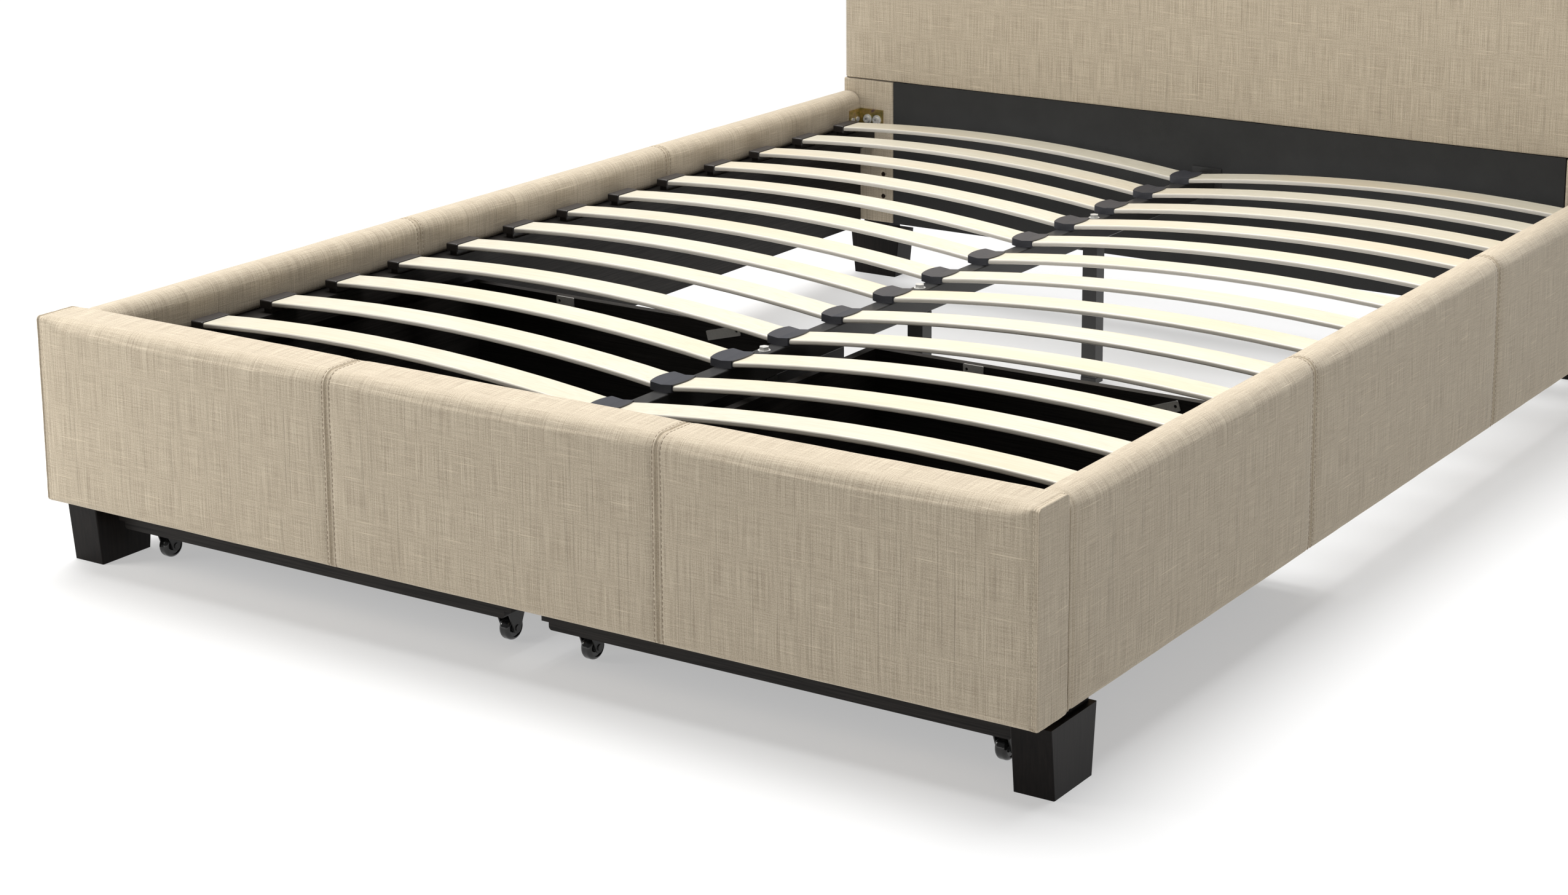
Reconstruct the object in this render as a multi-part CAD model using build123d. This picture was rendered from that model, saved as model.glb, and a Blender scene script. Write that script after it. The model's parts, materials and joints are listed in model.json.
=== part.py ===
from build123d import *
import math
import os

# Queen-size upholstered platform bed with a roll-out storage unit at the foot.
# Millimetres. +X is the right side seen from the foot, +Y runs from the foot to the head, +Z is up.
# The origin is on the floor, under the middle of the bed.

# ---- Whole bed ----
OVERALL_WIDTH = 1650.0
OVERALL_LENGTH = 2200.0
HEADBOARD_HEIGHT = 1200.0

# ---- Upholstered boards ----
PANEL_BOTTOM = 102.0
PANEL_TOP = 374.0
PADDING = 12.0
FOOTBOARD_THICKNESS = 76.0
FOOTBOARD_FRONT_ROUNDING = 22.0
FOOTBOARD_BACK_ROUNDING = 14.0
RAIL_THICKNESS = 55.0
RAIL_TOP_ROUNDING = 25.0
RAIL_CORE_THICKNESS = 26.0
LINER_THICKNESS = 15.0
FOOTBOARD_TO_RAIL_GAP = 4.0
CORE_INSET = 2.0

# ---- Headboard ----
HEADBOARD_THICKNESS = 84.0
HEADBOARD_WIDTH = 1624.0
HEADBOARD_ROUNDING = 16.0
HEADBOARD_PAD_BOTTOM = 402.0
HEADBOARD_LEG_BOTTOM = 114.0
HEADBOARD_PLY = 6.0
HEADBOARD_RAIL_DEPTH = 70.0
BACK_CLOTH = 3.0
LOWER_PANEL_HALF_WIDTH = 693.5
LOWER_PANEL_THICKNESS = 16.0
LOWER_PANEL_SET_BACK = 2.0

# ---- Feet ----
FOOT_LENGTH_TOP = 115.0
FOOT_LENGTH_BOTTOM = 95.0
FOOT_WIDTH = 57.0
FOOT_HEIGHT = 93.0
FOOT_SIDE_INSET = 1.0
FOOT_EDGE = 2.0
NECK_LENGTH = 60.0
NECK_WIDTH = 40.0
FRONT_FOOT_CENTRE = 95.0
FRONT_NECK_CENTRE = 116.0
REAR_FOOT_SIDE_CENTRE = 745.0

# ---- Slats, caps and ledges ----
LEDGE_TOP = 308.0
LEDGE_WIDTH = 35.0
LEDGE_HEIGHT = 35.0
SLAT_ROWS = 13
SLAT_PITCH = 146.6
FIRST_SLAT = 270.0
SLAT_WIDTH = 56.0
SLAT_THICKNESS = 8.0
SLAT_RISE = 20.0
SLAT_EDGE = 3.0
SLAT_SIDE_HEIGHT = 317.0
SLAT_CENTRE_HEIGHT = 299.0
CAP_DEPTH = 60.0
CAP_BOTTOM = 315.5
CAP_TOP = 328.3
CAP_FOOT_INSET = 5.0
SIDE_CAP_WIDTH = 24.0
SIDE_CAP_INSET = 10.0
CENTRE_CAP_HALF_WIDTH = 19.0
CENTRE_CAP_BULGE = 5.0
CENTRE_CAP_DEPTH = 59.0
CENTRE_CAP_HEIGHT = 11.5
CENTRE_CAP_FOOT = 8.0
CENTRE_CAP_LIFT = 2.8
CENTRE_CAP_WALL = 8.0
CAP_END_WALL = 4.0
CAP_ROUNDING = 2.5

# ---- Centre support ----
BEAM_TOP = 297.5
BEAM_WIDTH = 28.0
BEAM_HEIGHT = 38.0
BEAM_WALL = 2.0
BEAM_CORNER = 2.0
POST_SIZE = 28.0
POST_WALL = 2.0
POST_ROWS = (3, 6, 10)
POST_BEFORE_SLAT = 65.0
GLIDE_SIZE = 30.0
GLIDE_HEIGHT = 10.0
CROSS_RAIL_THICKNESS = 24.0
CROSS_RAIL_HEIGHT = 48.0
CROSS_RAIL_GAP = 4.0
HANGER_PLATE = 2.5
HANGER_LENGTH = 46.0
HANGER_HALF_WIDTH = 30.0
HANGER_HEIGHT = 51.0

# ---- Corner brackets and bolts ----
BRACKET_PLATE = 3.0
BRACKET_RAIL_LEAF = 42.0
BRACKET_HEAD_LEAF = 54.0
BRACKET_BOTTOM = 308.5
BRACKET_HEIGHT = 34.5
BRACKET_BOLT_RISE = 14.5
BRACKET_HOLE_RADIUS = 3.2
BOLT_RADIUS = 4.0
BOLT_HOLE_RADIUS = 4.2
BOLT_HEAD_ACROSS = 13.0
BOLT_HEAD_HEIGHT = 5.3
WASHER_RADIUS = 9.5
WASHER_THICKNESS = 1.6
SOCKET_HEAD_RADIUS = 6.5
SOCKET_HEAD_HEIGHT = 6.0
SOCKET_RADIUS = 3.0
SCREW_HEAD_RADIUS = 5.0
SCREW_HEAD_HEIGHT = 2.5

# ---- Roll-out drawers ----
DRAWER_INNER = 26.0
DRAWER_OUTER = 760.0
DRAWER_DEPTH = 826.0
DRAWER_BOTTOM = 62.0
DRAWER_TOP = 250.0
DRAWER_BOARD = 15.0
DRAWER_FLOOR = 9.0
LIP_DROP = 10.5
LIP_INSET = 12.0
LIP_ROUNDING = 5.0
STOP_TABS = ((-571.0, 7.5, 35.0, 0.0, 1), (-218.0, 9.0, 65.0, 15.0, -1),
             (205.0, 7.5, 35.0, 0.0, 1), (557.0, 11.0, 65.0, 19.0, -1))
TAB_HEIGHT = 16.0
TAB_PLATE = 2.0
TAB_CORNER = 1.5
TAB_HOLE_RADIUS = 2.5
TAB_HOLE_INSET = 6.0

# ---- Casters ----
WHEEL_RADIUS = 18.0
WHEEL_WIDTH = 18.0
WHEEL_EDGE = 6.0
WHEEL_RECESS = 2.0
WHEEL_RECESS_RADII = (6.5, 13.5)
AXLE_RADIUS = 3.0
AXLE_CLEARANCE = 0.05
RIVET_RADIUS = 4.5
RIVET_HEIGHT = 1.4
FRONT_CASTER_SIDES = (70.0, 711.0)
REAR_CASTER_SIDES = (70.0, 690.0)
CASTER_FROM_FRONT = 53.0
CASTER_FROM_BACK = 55.0
FORK_GAP = 0.6
FORK_PLATE = 2.0
FORK_HALF_DEPTH = 17.0
FORK_EYE_RADIUS = 8.0
FORK_SHOULDER = 40.0
FORK_FLANGE = 9.0

# ---- Worked out from the sizes above ----
HALF_WIDTH = OVERALL_WIDTH / 2
RAIL_INNER = HALF_WIDTH - RAIL_THICKNESS
LINER_OUTER = RAIL_INNER + LINER_THICKNESS
FOOT_FACE = -OVERALL_LENGTH / 2
RAIL_FRONT = FOOT_FACE + FOOTBOARD_THICKNESS + FOOTBOARD_TO_RAIL_GAP
HEAD_FACE = OVERALL_LENGTH / 2 - HEADBOARD_THICKNESS
HEAD_BACK = OVERALL_LENGTH / 2
CROSS_RAIL_BACK = RAIL_FRONT + CROSS_RAIL_GAP + CROSS_RAIL_THICKNESS
DRAWER_FACE = FOOT_FACE + FOOTBOARD_THICKNESS
DRAWER_BACK = DRAWER_FACE + DRAWER_DEPTH
BEAM_BOTTOM = BEAM_TOP - BEAM_HEIGHT
POST_HALF = POST_SIZE / 2
SIDES = (("left", -1), ("right", 1))


def block(x0, x1, y0, y1, z0, z1):
    """A box between two corners, whichever way round each pair is given."""
    size = (abs(x1 - x0), abs(y1 - y0), abs(z1 - z0))
    centre = ((x0 + x1) / 2, (y0 + y1) / 2, (z0 + z1) / 2)
    return Pos(*centre) * Box(*size)


def rod_x(radius, x0, x1, y, z):
    """A round bar along X."""
    return Pos((x0 + x1) / 2, y, z) * Rot(0, 90, 0) * Cylinder(radius, abs(x1 - x0))


def rod_y(radius, x, y0, y1, z):
    """A round bar along Y."""
    return Pos(x, (y0 + y1) / 2, z) * Rot(90, 0, 0) * Cylinder(radius, abs(y1 - y0))


def rod_z(radius, x, y, z0, z1):
    """A round bar along Z."""
    return Pos(x, y, (z0 + z1) / 2) * Cylinder(radius, abs(z1 - z0))


def save(node, solids):
    """Write one named piece, or one group of identical pieces, as its own STEP file."""
    export_step(Compound(children=list(solids)), f"parts/{node}.step")


def slat_centre(row):
    """Where a row of slats lies along the bed."""
    return FOOT_FACE + FIRST_SLAT + row * SLAT_PITCH


# ---------------------------------------------------------------- footboard

def footboard_core():
    """Plain board inside the footboard, flush with its bottom edge."""
    return block(-HALF_WIDTH + PADDING, HALF_WIDTH - PADDING,
                 FOOT_FACE + PADDING, DRAWER_FACE - PADDING,
                 PANEL_BOTTOM, PANEL_TOP - PADDING)


def footboard_cover():
    """Padded fabric cover: a shell that is open underneath, with soft top edges."""
    shell = block(-HALF_WIDTH, HALF_WIDTH, FOOT_FACE, DRAWER_FACE, PANEL_BOTTOM, PANEL_TOP)
    long_top = shell.edges().filter_by(Axis.X).group_by(Axis.Z)[-1].sort_by(Axis.Y)
    shell = fillet(long_top[0], FOOTBOARD_FRONT_ROUNDING)
    back_top = shell.edges().filter_by(Axis.X).group_by(Axis.Z)[-1].sort_by(Axis.Y)[-1]
    shell = fillet(back_top, FOOTBOARD_BACK_ROUNDING)
    return shell - footboard_core()


# ---------------------------------------------------------------- side rails

def rail_core(side):
    """Structural board of a side rail."""
    outer = LINER_OUTER + RAIL_CORE_THICKNESS
    return block(side * LINER_OUTER, side * outer, RAIL_FRONT + CORE_INSET, HEAD_FACE,
                 PANEL_BOTTOM, PANEL_TOP - PADDING - CORE_INSET)


def rail_liner(side):
    """Black inner board of a side rail, as high as the slat ledge."""
    return block(side * RAIL_INNER, side * LINER_OUTER, RAIL_FRONT + CORE_INSET, HEAD_FACE,
                 PANEL_BOTTOM, LEDGE_TOP)


def rail_cover(side):
    """Padded fabric over the outer face, the round top and the inner face above the ledge."""
    shell = block(side * RAIL_INNER, side * HALF_WIDTH, RAIL_FRONT, HEAD_FACE,
                  PANEL_BOTTOM, PANEL_TOP)
    shell = fillet(shell.edges().filter_by(Axis.Y).group_by(Axis.Z)[-1], RAIL_TOP_ROUNDING)
    return shell - rail_core(side) - rail_liner(side)


def slat_ledge(side):
    """Batten along the inside of a rail that carries the outer slat caps."""
    return block(side * (RAIL_INNER - LEDGE_WIDTH), side * RAIL_INNER,
                 CROSS_RAIL_BACK, HEAD_FACE - BRACKET_PLATE, LEDGE_TOP - LEDGE_HEIGHT, LEDGE_TOP)


def foot_cross_rail():
    """Board between the two rails, just behind the footboard and above the drawers."""
    return block(-RAIL_INNER, RAIL_INNER, CROSS_RAIL_BACK - CROSS_RAIL_THICKNESS, CROSS_RAIL_BACK,
                 LEDGE_TOP - CROSS_RAIL_HEIGHT, LEDGE_TOP)


# ---------------------------------------------------------------- headboard

def headboard_frame():
    """Two full-height posts, a ply front, a top and a middle rail, and a stile."""
    front = HEAD_FACE + PADDING
    behind_ply = front + HEADBOARD_PLY
    back = HEAD_BACK - BACK_CLOTH
    post_outer = HEADBOARD_WIDTH / 2 - PADDING
    post_inner = LOWER_PANEL_HALF_WIDTH + PADDING
    top = HEADBOARD_HEIGHT - PADDING
    solids = [block(-post_outer, post_outer, front, behind_ply, HEADBOARD_PAD_BOTTOM, top)]
    for side in (-1, 1):
        solids.append(block(side * post_inner, side * post_outer, behind_ply, back,
                            HEADBOARD_LEG_BOTTOM, top))
    for low in (HEADBOARD_PAD_BOTTOM, top - HEADBOARD_RAIL_DEPTH):
        solids.append(block(-post_inner, post_inner, behind_ply, back,
                            low, low + HEADBOARD_RAIL_DEPTH))
    half_stile = HEADBOARD_RAIL_DEPTH / 2
    solids.append(block(-half_stile, half_stile, behind_ply, back,
                        HEADBOARD_PAD_BOTTOM + HEADBOARD_RAIL_DEPTH, top - HEADBOARD_RAIL_DEPTH))
    return solids


def headboard_pad():
    """Upholstered upper part: a shell that is open at the back."""
    half = HEADBOARD_WIDTH / 2
    shell = block(-half, half, HEAD_FACE, HEAD_BACK, HEADBOARD_PAD_BOTTOM, HEADBOARD_HEIGHT)
    shell = fillet(shell.edges().filter_by(Axis.Z).group_by(Axis.Y)[0], HEADBOARD_ROUNDING)
    top_front = shell.faces().sort_by(Axis.Z)[-1].edges().group_by(Axis.Y)[0]
    shell = fillet(top_front, HEADBOARD_ROUNDING * 0.6)
    return shell - block(-half + PADDING, half - PADDING, HEAD_FACE + PADDING, HEAD_BACK,
                         HEADBOARD_PAD_BOTTOM, HEADBOARD_HEIGHT - PADDING)


def headboard_leg_sleeve(side):
    """Fabric round a headboard post below the pad, open at the back."""
    half = HEADBOARD_WIDTH / 2
    low = HEADBOARD_LEG_BOTTOM
    sleeve = block(side * LOWER_PANEL_HALF_WIDTH, side * half, HEAD_FACE, HEAD_BACK,
                   low, HEADBOARD_PAD_BOTTOM)
    post = block(side * (LOWER_PANEL_HALF_WIDTH + PADDING), side * (half - PADDING),
                 HEAD_FACE + PADDING + HEADBOARD_PLY, HEAD_BACK, low, HEADBOARD_PAD_BOTTOM)
    bolt_holes = [rod_y(BOLT_HOLE_RADIUS, side * x, HEAD_FACE, HEAD_BACK, bracket_middle())
                  for x in head_bolt_sides()]
    return sleeve - post - bolt_holes


def headboard_lower_panel():
    """Black panel between the headboard legs, below the upholstery."""
    front = HEAD_FACE + LOWER_PANEL_SET_BACK
    return block(-LOWER_PANEL_HALF_WIDTH, LOWER_PANEL_HALF_WIDTH,
                 front, front + LOWER_PANEL_THICKNESS, HEADBOARD_LEG_BOTTOM, HEADBOARD_PAD_BOTTOM)


def headboard_back_cloth():
    """Thin black lining that closes the back of the headboard."""
    half = HEADBOARD_WIDTH / 2 - PADDING
    return block(-half, half, HEAD_BACK - BACK_CLOTH, HEAD_BACK,
                 HEADBOARD_PAD_BOTTOM, HEADBOARD_HEIGHT - PADDING)


# ---------------------------------------------------------------- feet

def foot():
    """Tapered wooden foot, long side along X, centred on the origin of the floor."""
    top = Rectangle(FOOT_LENGTH_TOP, FOOT_WIDTH)
    bottom = Rectangle(FOOT_LENGTH_BOTTOM, FOOT_WIDTH)
    body = loft([Pos(0, 0, 0) * bottom, Pos(0, 0, FOOT_HEIGHT) * top])
    uprights = body.edges().filter_by(lambda edge: abs(edge.tangent_at(0).Z) > 0.9)
    return fillet(uprights, FOOT_EDGE)


def front_foot(side):
    """Foot under the front end of a rail, with a short neck up to the rail."""
    x = side * (HALF_WIDTH - FOOT_SIDE_INSET - FOOT_WIDTH / 2)
    y = FOOT_FACE + FRONT_FOOT_CENTRE
    neck_y = FOOT_FACE + FRONT_NECK_CENTRE
    neck = block(x - NECK_WIDTH / 2, x + NECK_WIDTH / 2, neck_y - NECK_LENGTH / 2,
                 neck_y + NECK_LENGTH / 2, FOOT_HEIGHT, PANEL_BOTTOM)
    return Pos(x, y, 0) * Rot(0, 0, 90) * foot() + neck


def rear_foot(side):
    """Foot under a headboard post, turned across the bed."""
    x = side * REAR_FOOT_SIDE_CENTRE
    y = HEAD_BACK - HEADBOARD_THICKNESS / 2
    neck = block(x - NECK_LENGTH / 2, x + NECK_LENGTH / 2, y - NECK_WIDTH / 2,
                 y + NECK_WIDTH / 2, FOOT_HEIGHT, HEADBOARD_LEG_BOTTOM)
    return Pos(x, y, 0) * foot() + neck


# ---------------------------------------------------------------- slats and caps

def slat(side, row):
    """Bowed laminated slat, lower at the centre cap than at the side cap, with soft long edges."""
    y = slat_centre(row)
    half_thickness = SLAT_THICKNESS / 2
    inner = Vector(side * CENTRE_CAP_WALL / 2, y, SLAT_CENTRE_HEIGHT + half_thickness)
    outer = Vector(side * (RAIL_INNER - SIDE_CAP_INSET - CAP_END_WALL), y,
                   SLAT_SIDE_HEIGHT + half_thickness)
    first, last = (inner, outer) if side > 0 else (outer, inner)
    chord = last - first
    half_chord = chord.length / 2
    radius = (half_chord ** 2 + SLAT_RISE ** 2) / (2 * SLAT_RISE)
    along = chord.normalized()
    centre = (first + last) / 2 + Vector(-along.Z, 0, along.X) * (SLAT_RISE - radius)
    spoke = (first - centre).normalized()
    end_plane = Plane(origin=first, x_dir=(0, 1, 0), z_dir=Vector(spoke.Z, 0, -spoke.X))
    section = end_plane * RectangleRounded(SLAT_WIDTH, SLAT_THICKNESS, SLAT_EDGE)
    sweep_angle = 2 * math.degrees(math.asin(half_chord / radius))
    return revolve(section, Axis(centre, (0, 1, 0)), revolution_arc=sweep_angle)


def side_cap(side, row):
    """Single holder on a ledge: a flat sleeve on a narrower foot, open towards the middle."""
    y = slat_centre(row)
    outer = side * (RAIL_INNER - SIDE_CAP_INSET)
    mouth = outer - side * SIDE_CAP_WIDTH
    sleeve = block(outer, mouth, y - CAP_DEPTH / 2, y + CAP_DEPTH / 2, CAP_BOTTOM, CAP_TOP)
    rounded = sleeve.edges().filter_by(Axis.Z) + sleeve.edges().group_by(Axis.Z)[-1]
    half_foot = CAP_DEPTH / 2 - CAP_FOOT_INSET
    foot_block = block(outer - side * CAP_FOOT_INSET, mouth + side * CAP_FOOT_INSET,
                       y - half_foot, y + half_foot, LEDGE_TOP, CAP_BOTTOM)
    return fillet(rounded, CAP_ROUNDING) + foot_block - slat(side, row)


def centre_cap(row):
    """Low double holder on the beam: its mouths bulge outwards and follow the rising slats."""
    half, half_depth = CENTRE_CAP_HALF_WIDTH, CENTRE_CAP_DEPTH / 2
    reach = half + CENTRE_CAP_BULGE
    outline = [Line((-half, -half_depth), (half, -half_depth)),
               ThreePointArc((half, -half_depth), (reach, 0), (half, half_depth)),
               Line((half, half_depth), (-half, half_depth)),
               ThreePointArc((-half, half_depth), (-reach, 0), (-half, -half_depth))]
    plan = make_face(Wire(outline))
    plan = fillet(plan.vertices(), CAP_ROUNDING)
    top = CENTRE_CAP_HEIGHT
    profile = make_face(Polyline((-CENTRE_CAP_FOOT, 0), (CENTRE_CAP_FOOT, 0),
                                 (reach, CENTRE_CAP_LIFT), (reach, top + CENTRE_CAP_LIFT), (0, top),
                                 (-reach, top + CENTRE_CAP_LIFT), (-reach, CENTRE_CAP_LIFT),
                                 close=True))
    body = extrude(plan, top + CENTRE_CAP_LIFT)
    body &= extrude(Plane.XZ * profile, CENTRE_CAP_DEPTH, both=True)
    return Pos(0, slat_centre(row), BEAM_TOP) * body - slat(-1, row) - slat(1, row)


# ---------------------------------------------------------------- centre support

def post_centres():
    """Positions of the three support posts along the bed."""
    return [slat_centre(row) - POST_BEFORE_SLAT for row in POST_ROWS]


def centre_beam():
    """Steel box tube along the middle, drilled for the three post bolts."""
    outside = RectangleRounded(BEAM_WIDTH, BEAM_HEIGHT, BEAM_CORNER)
    inside = Rectangle(BEAM_WIDTH - 2 * BEAM_WALL, BEAM_HEIGHT - 2 * BEAM_WALL)
    start = CROSS_RAIL_BACK + HANGER_PLATE
    end = HEAD_FACE + LOWER_PANEL_SET_BACK - HANGER_PLATE
    tube = extrude(Plane.XZ * (outside - inside), -(end - start))
    tube = Pos(0, start, BEAM_TOP - BEAM_HEIGHT / 2) * tube
    holes = [rod_z(BOLT_HOLE_RADIUS, 0, y, BEAM_BOTTOM, BEAM_TOP) for y in post_centres()]
    return tube - holes


def centre_post(y):
    """Square steel leg with a closed top plate and a plastic glide."""
    tube = block(-POST_HALF, POST_HALF, y - POST_HALF, y + POST_HALF, GLIDE_HEIGHT, BEAM_BOTTOM)
    inner = POST_HALF - POST_WALL
    tube -= block(-inner, inner, y - inner, y + inner, GLIDE_HEIGHT, BEAM_BOTTOM - POST_WALL)
    tube -= rod_z(BOLT_HOLE_RADIUS, 0, y, BEAM_BOTTOM - POST_WALL, BEAM_BOTTOM)
    half = GLIDE_SIZE / 2
    glide = block(-half, half, y - half, y + half, 0, GLIDE_HEIGHT)
    glide = fillet(glide.edges().filter_by(Axis.Z), FOOT_EDGE)
    return [tube, glide]


def beam_hanger(face, inward):
    """Steel saddle that holds one end of the beam against a board."""
    low = BEAM_BOTTOM - HANGER_PLATE
    cheek = BEAM_WIDTH / 2 + HANGER_PLATE
    end = face + inward * HANGER_LENGTH
    plate = block(-HANGER_HALF_WIDTH, HANGER_HALF_WIDTH, face, face + inward * HANGER_PLATE,
                  LEDGE_TOP - HANGER_HEIGHT, LEDGE_TOP)
    seat = block(-cheek, cheek, face, end, low, BEAM_BOTTOM)
    cheeks = [block(side * BEAM_WIDTH / 2, side * cheek, face, end, low, BEAM_TOP - BEAM_CORNER)
              for side in (-1, 1)]
    return plate + seat + cheeks


# ---------------------------------------------------------------- brackets and bolts

def bracket_middle():
    """Height of the corner brackets' holes."""
    return BRACKET_BOTTOM + BRACKET_BOLT_RISE


def head_bolt_sides():
    """Distances from the centre plane of the two bolts in a bracket's headboard leaf."""
    return [RAIL_INNER - BRACKET_HEAD_LEAF * share for share in (0.36, 0.76)]


def rail_screw_places():
    """Distances from the headboard of the two screws in a bracket's rail leaf."""
    return [BRACKET_RAIL_LEAF * share for share in (0.4, 0.8)]


def corner_bracket(side):
    """Right-angle plate that joins a rail to the headboard leg."""
    top = BRACKET_BOTTOM + BRACKET_HEIGHT
    rail_leaf = block(side * RAIL_INNER, side * (RAIL_INNER - BRACKET_PLATE),
                      HEAD_FACE - BRACKET_RAIL_LEAF, HEAD_FACE, BRACKET_BOTTOM, top)
    head_leaf = block(side * RAIL_INNER, side * (RAIL_INNER - BRACKET_HEAD_LEAF),
                      HEAD_FACE - BRACKET_PLATE, HEAD_FACE, BRACKET_BOTTOM, top)
    holes = [rod_y(BOLT_HOLE_RADIUS, side * x, HEAD_FACE - BRACKET_PLATE, HEAD_FACE,
                   bracket_middle()) for x in head_bolt_sides()]
    holes += [rod_x(BRACKET_HOLE_RADIUS, side * RAIL_INNER, side * (RAIL_INNER - BRACKET_PLATE),
                    HEAD_FACE - place, bracket_middle()) for place in rail_screw_places()]
    return rail_leaf + head_leaf - holes


def beam_bolt(y):
    """Hexagon bolt and washer through the beam into a post."""
    hexagon = RegularPolygon(BOLT_HEAD_ACROSS / 2, 6, major_radius=False)
    head_base = BEAM_TOP + WASHER_THICKNESS
    washer = rod_z(WASHER_RADIUS, 0, y, BEAM_TOP, head_base)
    head = Pos(0, y, head_base) * extrude(hexagon, BOLT_HEAD_HEIGHT)
    shank = rod_z(BOLT_RADIUS, 0, y, BEAM_BOTTOM - BOLT_RADIUS * 2, head_base)
    return washer + head + shank


def head_bolt(x):
    """Socket-head bolt and washer through a bracket into the headboard leg."""
    z = bracket_middle()
    face = HEAD_FACE - BRACKET_PLATE
    washer = rod_y(WASHER_RADIUS, x, face - WASHER_THICKNESS, face, z)
    seat = face - WASHER_THICKNESS
    head = rod_y(SOCKET_HEAD_RADIUS, x, seat - SOCKET_HEAD_HEIGHT, seat, z)
    socket = rod_y(SOCKET_RADIUS, x, seat - SOCKET_HEAD_HEIGHT, seat - SOCKET_HEAD_HEIGHT / 3, z)
    shank = rod_y(BOLT_RADIUS, x, seat, HEAD_FACE + PADDING + HEADBOARD_PLY, z)
    return washer + head + shank - socket


def rail_screw(side, place):
    """Pan-head screw in a bracket's rail leaf."""
    x = RAIL_INNER - BRACKET_PLATE
    y = HEAD_FACE - place
    head = rod_x(SCREW_HEAD_RADIUS, side * x, side * (x - SCREW_HEAD_HEIGHT), y, bracket_middle())
    shank = rod_x(BRACKET_HOLE_RADIUS, side * x, side * RAIL_INNER, y, bracket_middle())
    return head + shank


def frame_bolts():
    """All visible bolts and screws of the fixed frame."""
    solids = [beam_bolt(y) for y in post_centres()]
    for side in (-1, 1):
        solids += [head_bolt(side * x) for x in head_bolt_sides()]
        solids += [rail_screw(side, place) for place in rail_screw_places()]
    return solids


# ---------------------------------------------------------------- drawers

def drawer_front(side):
    """Board against the footboard, with a shallow lip that hangs below the drawer."""
    back = DRAWER_FACE + DRAWER_BOARD
    board = block(side * DRAWER_INNER, side * DRAWER_OUTER, DRAWER_FACE, back,
                  DRAWER_BOTTOM, DRAWER_TOP)
    lip = block(side * (DRAWER_INNER + LIP_INSET), side * (DRAWER_OUTER - LIP_INSET),
                DRAWER_FACE, back, DRAWER_BOTTOM - LIP_DROP, DRAWER_BOTTOM)
    corners = lip.edges().filter_by(Axis.Y).group_by(Axis.Z)[0]
    return board + fillet(corners, LIP_ROUNDING)


def drawer_back(side):
    """Board at the rear of the drawer."""
    return block(side * DRAWER_INNER, side * DRAWER_OUTER, DRAWER_BACK - DRAWER_BOARD,
                 DRAWER_BACK, DRAWER_BOTTOM, DRAWER_TOP)


def drawer_side(side, x):
    """Long board between the front and the back, starting at x and running outwards."""
    return block(side * x, side * (x + DRAWER_BOARD), DRAWER_FACE + DRAWER_BOARD,
                 DRAWER_BACK - DRAWER_BOARD, DRAWER_BOTTOM, DRAWER_TOP)


def drawer_floor(side):
    """Panel that closes the drawer underneath, between its four boards."""
    return block(side * (DRAWER_INNER + DRAWER_BOARD), side * (DRAWER_OUTER - DRAWER_BOARD),
                 DRAWER_FACE + DRAWER_BOARD, DRAWER_BACK - DRAWER_BOARD,
                 DRAWER_BOTTOM, DRAWER_BOTTOM + DRAWER_FLOOR)


def stop_tab(hole_x, drop, length, turn, way):
    """Plate that turns on a screw inside a drawer back; it runs one way from its hole."""
    plate = Pos(way * (length / 2 - TAB_HOLE_INSET), 0) * RectangleRounded(length, TAB_HEIGHT, TAB_CORNER)
    plate = Rot(0, 0, turn) * (plate - Circle(TAB_HOLE_RADIUS))
    return Pos(hole_x, DRAWER_BACK - DRAWER_BOARD, DRAWER_TOP - drop) * extrude(Plane.XZ * plate, TAB_PLATE)


# ---------------------------------------------------------------- casters

def caster_places():
    """Name, X and Y of each caster."""
    rows = (("front", DRAWER_FACE + CASTER_FROM_FRONT, FRONT_CASTER_SIDES),
            ("rear", DRAWER_BACK - CASTER_FROM_BACK, REAR_CASTER_SIDES))
    return [(f"{name}_{reach}_{end}_wheel", side * x, y) for name, side in SIDES
            for end, y, distances in rows for reach, x in zip(("inner", "outer"), distances)]


def wheel(x, y):
    """Plastic wheel with a rounded tread, recessed faces and a running bore."""
    half = WHEEL_WIDTH / 2
    body = rod_x(WHEEL_RADIUS, x - half, x + half, y, WHEEL_RADIUS)
    body = fillet(body.edges().filter_by(GeomType.CIRCLE), WHEEL_EDGE)
    small, large = WHEEL_RECESS_RADII
    for face in (-half, half):
        deep = face - WHEEL_RECESS * (1 if face > 0 else -1)
        ring = rod_x(large, x + face, x + deep, y, WHEEL_RADIUS)
        body -= ring - rod_x(small, x + face, x + deep, y, WHEEL_RADIUS)
    return body - rod_x(AXLE_RADIUS + AXLE_CLEARANCE, x - half, x + half, y, WHEEL_RADIUS)


def caster_cheek(x0, x1, y):
    """Side plate of a fork: wide at the top and rounded at the axle."""
    outline = Polyline((-FORK_HALF_DEPTH, DRAWER_BOTTOM), (FORK_HALF_DEPTH, DRAWER_BOTTOM),
                       (FORK_HALF_DEPTH, FORK_SHOULDER), (FORK_EYE_RADIUS, WHEEL_RADIUS),
                       (-FORK_EYE_RADIUS, WHEEL_RADIUS), (-FORK_HALF_DEPTH, FORK_SHOULDER),
                       close=True)
    eye = Pos(0, WHEEL_RADIUS) * Circle(FORK_EYE_RADIUS)
    plate = extrude(Plane.YZ * (make_face(outline) + eye), x1 - x0)
    return Pos(x0, y, 0) * plate


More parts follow.
